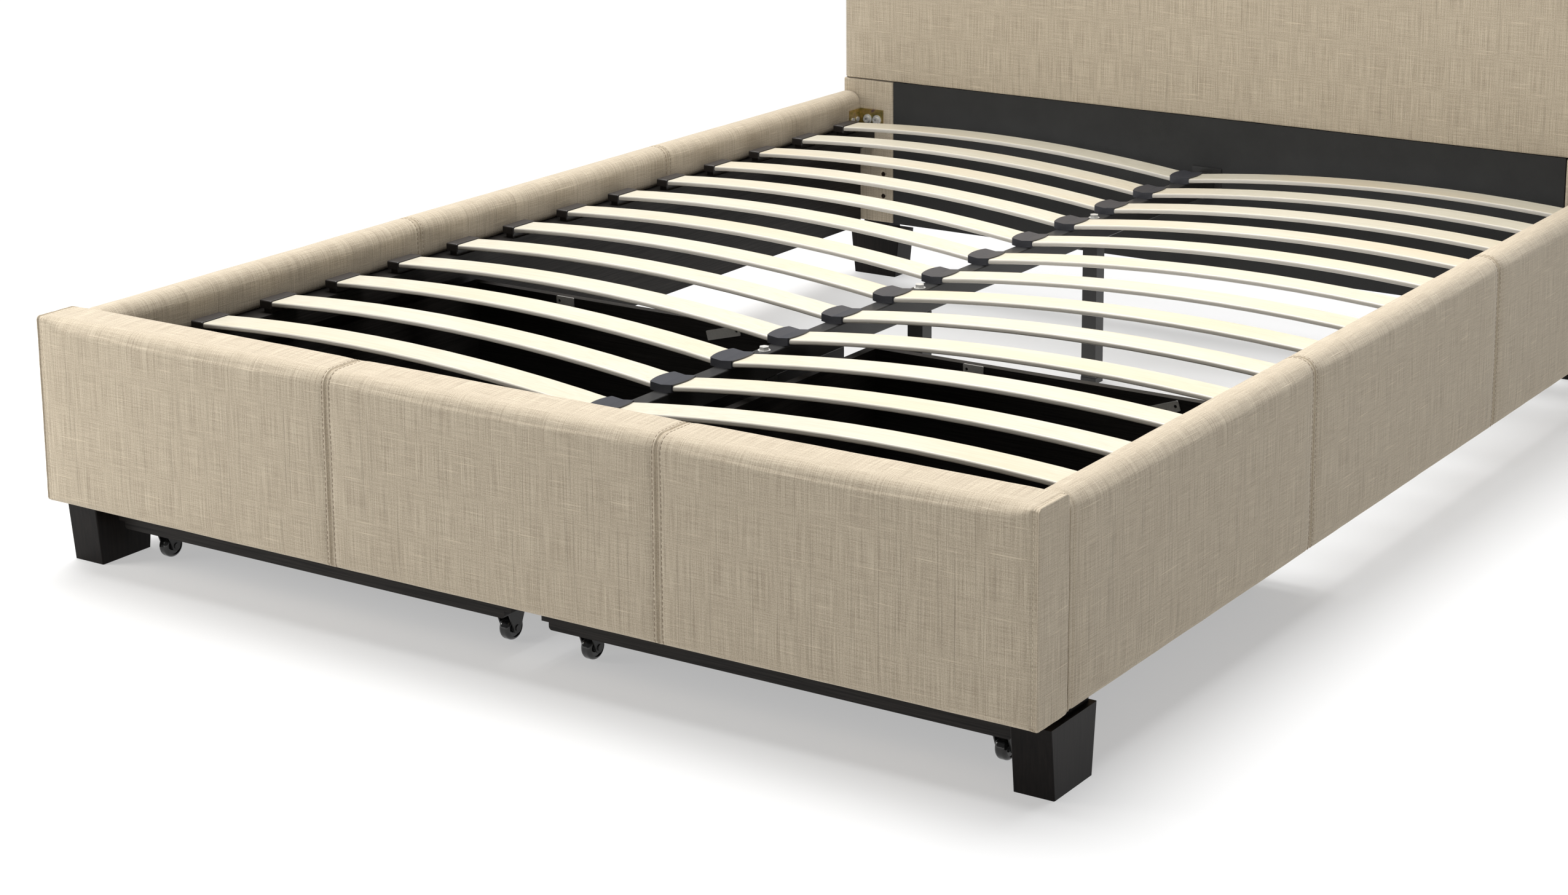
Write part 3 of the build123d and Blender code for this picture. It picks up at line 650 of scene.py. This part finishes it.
def map_weave(piece, axis, points):
    """UV map in metres: along one axis and round the outline, with flat ends."""
    mesh = piece.data
    others = [i for i in range(3) if i != axis]
    places = coordinates(piece)
    round_way = along_outline(points, places[:, others])
    corners = np.empty(len(mesh.loops), dtype=int)
    mesh.loops.foreach_get("vertex_index", corners)
    is_end = np.empty(len(mesh.loops), dtype=bool)
    for face in mesh.polygons:
        is_end[face.loop_start:face.loop_start + face.loop_total] = abs(face.normal[axis]) > 0.7
    flat = places[corners][:, others]
    turned = np.stack([places[corners, axis], round_way[corners]], axis=1)
    if axis == 2:
        turned = turned[:, ::-1]
    layer = mesh.uv_layers.get("weave") or mesh.uv_layers.new(name="weave")
    layer.data.foreach_set("uv", np.where(is_end[:, None], flat, turned).ravel())
    mesh.uv_layers.active = layer
    return piece


# %% [markdown]
# A stitch is under six millimetres of thick thread that lies on the cloth and dives in at both ends.
# One is modelled, and copies are laid along each row at an even pitch, turned to follow the surface
# under them. They are tiny and there are hundreds, so each has only a few faces.

# %% Stitches
STITCH_PITCH = 7.6 * MM
STITCH_HALF_SIZE = (0.62 * MM, 0.75 * MM, 2.8 * MM)


def stitch_shape(finish):
    """One stitch along X: a slim rounded thread."""
    bpy.ops.object.select_all(action="DESELECT")
    bpy.ops.mesh.primitive_uv_sphere_add(segments=6, ring_count=5, radius=1.0,
                                         rotation=(0.0, math.pi / 2, 0.0),
                                         scale=STITCH_HALF_SIZE)
    stitch = bpy.context.object
    bpy.ops.object.transform_apply(location=True, rotation=True, scale=True)
    bpy.ops.object.shade_smooth()
    stitch.data.materials.append(finish)
    return stitch


def spread(points):
    """Places one stitch pitch apart along a line of points, as (place, direction) pairs."""
    points = [Vector(point) for point in points]
    result = []
    walked, wanted = 0.0, STITCH_PITCH / 2
    for start, end in zip(points[:-1], points[1:]):
        length = (end - start).length
        while length > 1e-9 and wanted <= walked + length:
            result.append((start.lerp(end, (wanted - walked) / length), (end - start).normalized()))
            wanted += STITCH_PITCH
        walked += length
    return result


def sew(name, cover, rows, finish):
    """Lay stitches along rows of points on a cover, as one piece that goes with it."""
    tree = BVHTree.FromObject(cover, bpy.context.evaluated_depsgraph_get())
    stitch = stitch_shape(finish)
    copies = []
    for row in rows:
        for place, along in spread(row):
            ground, normal, _, _ = tree.find_nearest(place)
            along = (along - normal * along.dot(normal)).normalized()
            turn = Matrix((along, normal.cross(along), normal)).transposed().to_4x4()
            copy = stitch.copy()
            copy.data = stitch.data.copy()
            copy.data.transform(Matrix.Translation(ground) @ turn)
            bpy.context.scene.collection.objects.link(copy)
            copies.append(copy)
    bpy.data.objects.remove(stitch)
    bpy.ops.object.select_all(action="DESELECT")
    for copy in copies:
        copy.select_set(True)
    bpy.context.view_layer.objects.active = copies[0]
    bpy.ops.object.join()
    thread = bpy.context.object
    thread.name = thread.data.name = name
    thread.parent = cover
    print(name, len(copies), "stitches")
    return thread


# %% [markdown]
# ## Footboard
# Three front panels with two upright seams that run over the rounded top, and a flat panel on each
# end. It stands for the plain cover in the frame and travels with the drawers behind it.

# %% Footboard upholstery
CROWN = 1.5 * MM
TOP_PADDING = 5.5 * MM
FRONT_ROUND, BACK_ROUND, END_ROUND = 22 * MM, 7 * MM, 7 * MM
FOOT_SEAMS = (-275 * MM, 275 * MM)
FOOT_SWELL = 2 * MM
END_PANEL_EDGE = 12 * MM


def edge_runs(a, b, axis):
    """True where an edge runs along an axis."""
    run = b - a
    return abs(run[axis]) > 0.9 * run.length


def grid_places(keys):
    """Grid lines between key places, which get a line of their own."""
    places = []
    for start, end in zip(keys[:-1], keys[1:]):
        places += steps(start, end, GRID) + [end]
    return places[:-1]


def tighten_ends(piece, reach, front, top):
    """Draw the soft front corner out to a tighter one where the end panels are sewn on."""
    for vertex in piece.data.vertices:
        co = vertex.co
        is_end = abs(co.x) > reach - CLOSE
        if is_end and co.y < front + FRONT_ROUND - CLOSE and co.z > top - FRONT_ROUND + CLOSE:
            away = Vector((0.0, co.y - front - FRONT_ROUND, co.z - top + FRONT_ROUND)).normalized()
            co.y = front + END_ROUND * (1 + away.y)
            co.z = top - END_ROUND * (1 - away.z)


def footboard_upholstery():
    """Linen cover of the footboard, with its seams and topstitching."""
    low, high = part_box("footboard_cover")
    low.y += CROWN
    high.z += TOP_PADDING
    piece = block("footboard_upholstery", low, high)
    soften(piece, FRONT_ROUND, 6, lambda a, b: edge_runs(a, b, 0) and min(a.z, b.z) > high.z - CLOSE
           and max(a.y, b.y) < low.y + CLOSE)
    soften(piece, BACK_ROUND, 4, lambda a, b: edge_runs(a, b, 0) and min(a.z, b.z) > high.z - CLOSE
           and min(a.y, b.y) > high.y - CLOSE)
    soften(piece, 5 * MM, 2, lambda a, b: edge_runs(a, b, 0) and max(a.z, b.z) < low.z + CLOSE)
    soften(piece, 2 * MM, 2, lambda a, b: min(abs(a.x), abs(b.x)) > high.x - CLOSE)
    inner = high.x - END_PANEL_EDGE
    cut(piece, 0, grid_places([-high.x, -inner, *FOOT_SEAMS, inner, high.x]))
    cut(piece, 2, steps(low.z, high.z - FRONT_ROUND, GRID))
    cut(piece, 1, steps(low.y + FRONT_ROUND, high.y - BACK_ROUND, GRID))
    tighten_ends(piece, inner, low.y, high.z)
    swell(piece, FOOT_SWELL, lambda co: co.y > high.y - CLOSE or co.z < low.z + CLOSE
          or abs(co.x) > inner - CLOSE or min(abs(co.x - seam) for seam in FOOT_SEAMS) < CLOSE)
    ends = ((-high.x, 1), (high.x, -1))
    press_seams(piece, 0, seam_places(FOOT_SEAMS, ends), lambda v: v.normal.y < 0.6 and v.normal.z > -0.6)
    finish_cover(piece, 2, 3.1, (*FOOT_SEAMS, -high.x, high.x), 0)
    line = outline(low.y, high.y, low.z, high.z, FRONT_ROUND, BACK_ROUND)
    map_weave(piece, 0, line)
    rows = [seam + side * STITCH_ROW for seam in FOOT_SEAMS for side in (-1, 1)]
    sew("footboard_topstitch", piece, [[(x, y, z) for y, z in line[:-1]] for x in rows], PAINTED_SHADE_THREAD)
    rows = [end + inward * END_STITCH_ROW for end, inward in ends]
    line = outline(low.y, high.y, low.z, high.z, END_ROUND, BACK_ROUND)
    sew("footboard_end_topstitch", piece, [[(x, y, z) for y, z in line[:-1]] for x in rows], PALE_THREAD)
    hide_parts("footboard_cover")
    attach(piece, "roll_out_unit")
    return piece


print("footboard", len(footboard_upholstery().data.polygons), "faces")

# %% [markdown]
# ## Side rails
# The rails are padded over the outside, the round top and the inner face as far down as the slats.
# Below that the inner face steps back behind the black liner board.

# %% Side rail upholstery
RAIL_ROUND = 23 * MM
RAIL_SEAMS = (-324 * MM, 365 * MM)
STEP_BACK = 15.5 * MM
RAIL_SWELL, RAIL_TOP_PADDING = 3 * MM, 2 * MM


def rail_upholstery(side_name, side):
    """Linen cover of one side rail."""
    low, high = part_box(f"{side_name}_rail_cover")
    liner_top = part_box(f"{side_name}_rail_liner")[1].z
    outer = high.x if side > 0 else low.x
    inner = low.x if side > 0 else high.x
    outer -= side * CROWN
    inner += side * 0.3 * MM
    top = high.z + RAIL_TOP_PADDING
    piece = block(f"{side_name}_rail_upholstery", (min(inner, outer), low.y, low.z),
                  (max(inner, outer), high.y, top))
    soften(piece, RAIL_ROUND, 6, lambda a, b: edge_runs(a, b, 1) and min(a.z, b.z) > top - CLOSE)
    soften(piece, 4 * MM, 2, lambda a, b: edge_runs(a, b, 1) and max(a.z, b.z) < low.z + CLOSE
           and min(side * a.x, side * b.x) > side * outer - CLOSE)
    soften(piece, 2 * MM, 2, lambda a, b: max(a.y, b.y) < low.y + CLOSE or min(a.y, b.y) > high.y - CLOSE)
    keys = [low.y, low.y + END_PANEL_EDGE, *RAIL_SEAMS, high.y - END_PANEL_EDGE, high.y]
    cut(piece, 1, grid_places(keys))
    cut(piece, 2, steps(low.z, liner_top, GRID) + [liner_top + 0.5 * MM, liner_top + 1.5 * MM]
        + steps(liner_top, top - RAIL_ROUND, GRID))
    pick(piece, "VERT", lambda co: co.z < liner_top + 1 * MM
         and side * co.x < side * (inner + side * CLOSE))
    bpy.ops.transform.translate(value=(side * STEP_BACK, 0.0, 0.0))
    done(piece)
    swell(piece, RAIL_SWELL, lambda co: side * co.x < side * inner + STEP_BACK + CLOSE
          and co.z < top - RAIL_ROUND or co.z < low.z + CLOSE
          or co.y < keys[1] + CLOSE or co.y > keys[-2] - CLOSE
          or min(abs(co.y - seam) for seam in RAIL_SEAMS) < CLOSE)
    press_seams(piece, 1, seam_places(RAIL_SEAMS, ((low.y, 1),)),
                lambda v: v.normal.z > -0.6 and v.co.z > liner_top + 3 * MM or side * v.normal.x > 0.5)
    finish_cover(piece, 2, 5.7 + side, (*RAIL_SEAMS, low.y), 1)
    line = outline(outer, inner, low.z, top, RAIL_ROUND, RAIL_ROUND)
    map_weave(piece, 1, line)
    path = [(x, z) for x, z in line[:-1]] + [(inner, liner_top + 6 * MM)]
    rows = [seam + way * STITCH_ROW for seam in RAIL_SEAMS for way in (-1, 1)]
    sew(f"{side_name}_rail_topstitch", piece, [[(x, y, z) for x, z in path] for y in rows], PAINTED_SHADE_THREAD)
    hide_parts(f"{side_name}_rail_cover")
    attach(piece, "bed_frame")
    return piece


for rail_name, rail_side in (("left", -1), ("right", 1)):
    print(rail_name, "rail", len(rail_upholstery(rail_name, rail_side).data.polygons), "faces")

# %% [markdown]
# ## Headboard
# A wide pad above, and a linen sleeve round each leg below it, joined by a seam with one row of
# stitches. The bolts of the corner brackets go through the sleeves, so the sleeves stay flat. Two
# spare bolt holes are left open in each leg, low down.

# %% Headboard upholstery
HEAD_ROUND, HEAD_TOP_ROUND = 16 * MM, 10 * MM
PAD_BOTTOM, SLEEVE_TOP, LAST_CUT = 402 * MM, 401.2 * MM, 396 * MM
JOIN_STITCH_ROW = 405.8 * MM
HEAD_SWELL = 3 * MM
LEG_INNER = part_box("headboard_lower_panel")[1].x
SPARE_HOLE = 4.7 * MM
SPARE_HOLES = [(side * 716.5 * MM, z * MM) for side in (-1, 1) for z in (168, 213)]


def headboard_pad(low, high):
    """The wide swollen pad, crowned to the front."""
    pad = block("headboard_upholstery", (low.x, low.y + CROWN, PAD_BOTTOM), high)
    front = low.y + CROWN
    soften(pad, HEAD_ROUND, 5, lambda a, b: edge_runs(a, b, 2) and max(a.y, b.y) < front + CLOSE)
    soften(pad, HEAD_TOP_ROUND, 4, lambda a, b: min(a.z, b.z) > high.z - CLOSE
           and not min(a.y, b.y) > high.y - CLOSE)
    cut(pad, 0, steps(-high.x + HEAD_ROUND, high.x - HEAD_ROUND, 1.3 * GRID))
    first = PAD_BOTTOM + 12 * MM
    cut(pad, 2, [PAD_BOTTOM + 3 * MM, first] + steps(first, high.z - HEAD_TOP_ROUND, 1.3 * GRID))
    cut(pad, 1, steps(front + HEAD_ROUND, high.y, GRID))
    swell(pad, HEAD_SWELL, lambda co: co.y > front + HEAD_ROUND or co.z < PAD_BOTTOM + 1 * MM)
    return pad


def leg_sleeve(side, low, high):
    """A flat sleeve round one leg, below the pad."""
    inner, outer = side * LEG_INNER, side * high.x
    sleeve = block("sleeve", (min(inner, outer), low.y + 0.6 * MM, low.z),
                   (max(inner, outer), high.y - 1 * MM, SLEEVE_TOP))
    soften(sleeve, 8 * MM, 4, lambda a, b: edge_runs(a, b, 2) and max(a.y, b.y) < low.y + 1 * MM
           and side * a.x > side * outer - CLOSE)
    soften(sleeve, 2.5 * MM, 2, lambda a, b: min(a.z, b.z) > 401 * MM or max(a.z, b.z) < low.z + CLOSE)
    cut(sleeve, 2, [LAST_CUT] + steps(low.z, LAST_CUT, GRID))
    cut(sleeve, 0, steps(min(inner, outer) + 8 * MM, max(inner, outer) - 8 * MM, GRID)
        + [inner + side * 3 * MM])
    return sleeve


def headboard_upholstery():
    """Pad and sleeves as one piece, with the stitched seam between them and the spare holes."""
    low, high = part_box("headboard_cover")
    high.y -= 1.5 * MM
    pad = headboard_pad(low, high)
    parts = [pad] + [leg_sleeve(side, low, high) for side in (-1, 1)]
    bpy.ops.object.select_all(action="DESELECT")
    for part in parts:
        part.select_set(True)
    bpy.context.view_layer.objects.active = pad
    bpy.ops.object.join()
    finish_cover(pad, 2, 8.4)
    left = [(-high.x, high.y), (-high.x, low.y + HEAD_ROUND),
            (-high.x + HEAD_ROUND / 3, low.y + HEAD_ROUND / 3), (-high.x + HEAD_ROUND, low.y)]
    map_weave(pad, 2, left + [(-x, y) for x, y in reversed(left)])
    for x, z in SPARE_HOLES:
        drill(pad, x, low.y, z)
    rows = [[(side * reach, low.y, JOIN_STITCH_ROW) for reach in (LEG_INNER + 2 * MM, high.x - 10 * MM)]
            for side in (-1, 1)]
    sew("headboard_topstitch", pad, rows, PALE_THREAD)
    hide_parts("headboard_cover")
    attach(pad, "bed_frame")
    return pad


def drill(piece, x, y, z):
    """A blind round hole along Y, its inside dark brown: bare wood darkened by painted shade."""
    bpy.ops.object.select_all(action="DESELECT")
    bpy.ops.mesh.primitive_cylinder_add(vertices=20, radius=SPARE_HOLE, depth=16 * MM,
                                        location=(x, y, z), rotation=(math.pi / 2, 0.0, 0.0))
    drill_bit = bpy.context.object
    bpy.ops.object.transform_apply(location=True, rotation=True, scale=True)
    drill_bit.data.materials.append(PAINTED_SHADE_HOLE)
    modifier = piece.modifiers.new("hole", "BOOLEAN")
    modifier.operation, modifier.object, modifier.material_mode = "DIFFERENCE", drill_bit, "TRANSFER"
    apply_modifiers(piece)
    bpy.data.objects.remove(drill_bit)


# The inside of a spare hole is painted dark brown. It is partly the bare wood and partly painted shade for
# the depth of the hole.
PAINTED_SHADE_HOLE, hole_shader = finish_base("hole_wood_and_painted_shade", 0.8)
hole_shader.inputs["Base Color"].default_value = (0.07, 0.045, 0.03, 1.0)
print("headboard", len(headboard_upholstery().data.polygons), "faces")

# %% [markdown]
# ## Studio
# A pale floor and large soft lights. The key light stands to the front left, so that the footboard
# fades gently towards its right end. The overhead light makes the tops of the boards the brightest part.

# %% Studio
def area_light(name, place, aim, size, power, colour=(1.0, 1.0, 1.0)):
    """A square soft light turned towards a point."""
    data = bpy.data.lights.new(name, "AREA")
    data.size = size
    data.energy = power
    data.color = colour
    light = bpy.data.objects.new(name, data)
    light.location = place
    light.rotation_euler = (Vector(aim) - Vector(place)).to_track_quat("-Z", "Y").to_euler()
    bpy.context.scene.collection.objects.link(light)
    return light


FLOOR_GLOW = 0.44
WORLD_LIGHT = 0.15


def add_studio():
    """Floor, world and lights."""
    bpy.ops.object.select_all(action="DESELECT")
    bpy.ops.mesh.primitive_plane_add(size=40.0)
    floor = bpy.context.object
    floor.name = "studio_floor"
    material, shader = finish_base("pale_floor", 0.9)
    tone = noise_of(material, place_of(material, (0.8, 0.8, 0.8)), 2.0)
    link(material, ramp(material, tone, (0.3, grey(0.40)), (0.7, grey(0.42))), shader.inputs["Base Color"])
    shader.inputs["Emission Color"].default_value = (1.0, 1.0, 1.0, 1.0)
    shader.inputs["Emission Strength"].default_value = FLOOR_GLOW
    floor.data.materials.append(material)
    world = bpy.data.worlds.new("studio_world")
    world.use_nodes = True
    world.node_tree.nodes["Background"].inputs["Color"].default_value = (1.0, 1.0, 1.0, 1.0)
    world.node_tree.nodes["Background"].inputs["Strength"].default_value = WORLD_LIGHT
    bpy.context.scene.world = world
    area_light("key_light", (-2.15, -2.1, 0.95), (-1.0, -1.0, 0.25), 0.9, 29.0, (1.0, 0.985, 0.95))
    area_light("headboard_light", (0.2, -0.5, 2.3), (0.0, 1.0, 0.75), 1.2, 29.0)
    sky = bpy.data.lights.new("overhead_light", "SUN")
    sky.energy = 4.2
    sky.angle = math.radians(50)
    overhead = bpy.data.objects.new("overhead_light", sky)
    overhead.rotation_euler = Vector((-0.25, 0.22, 1.0)).to_track_quat("Z", "Y").to_euler()
    bpy.context.scene.collection.objects.link(overhead)
    bpy.context.scene.view_settings.view_transform = "Standard"


add_studio()
print("studio ready")
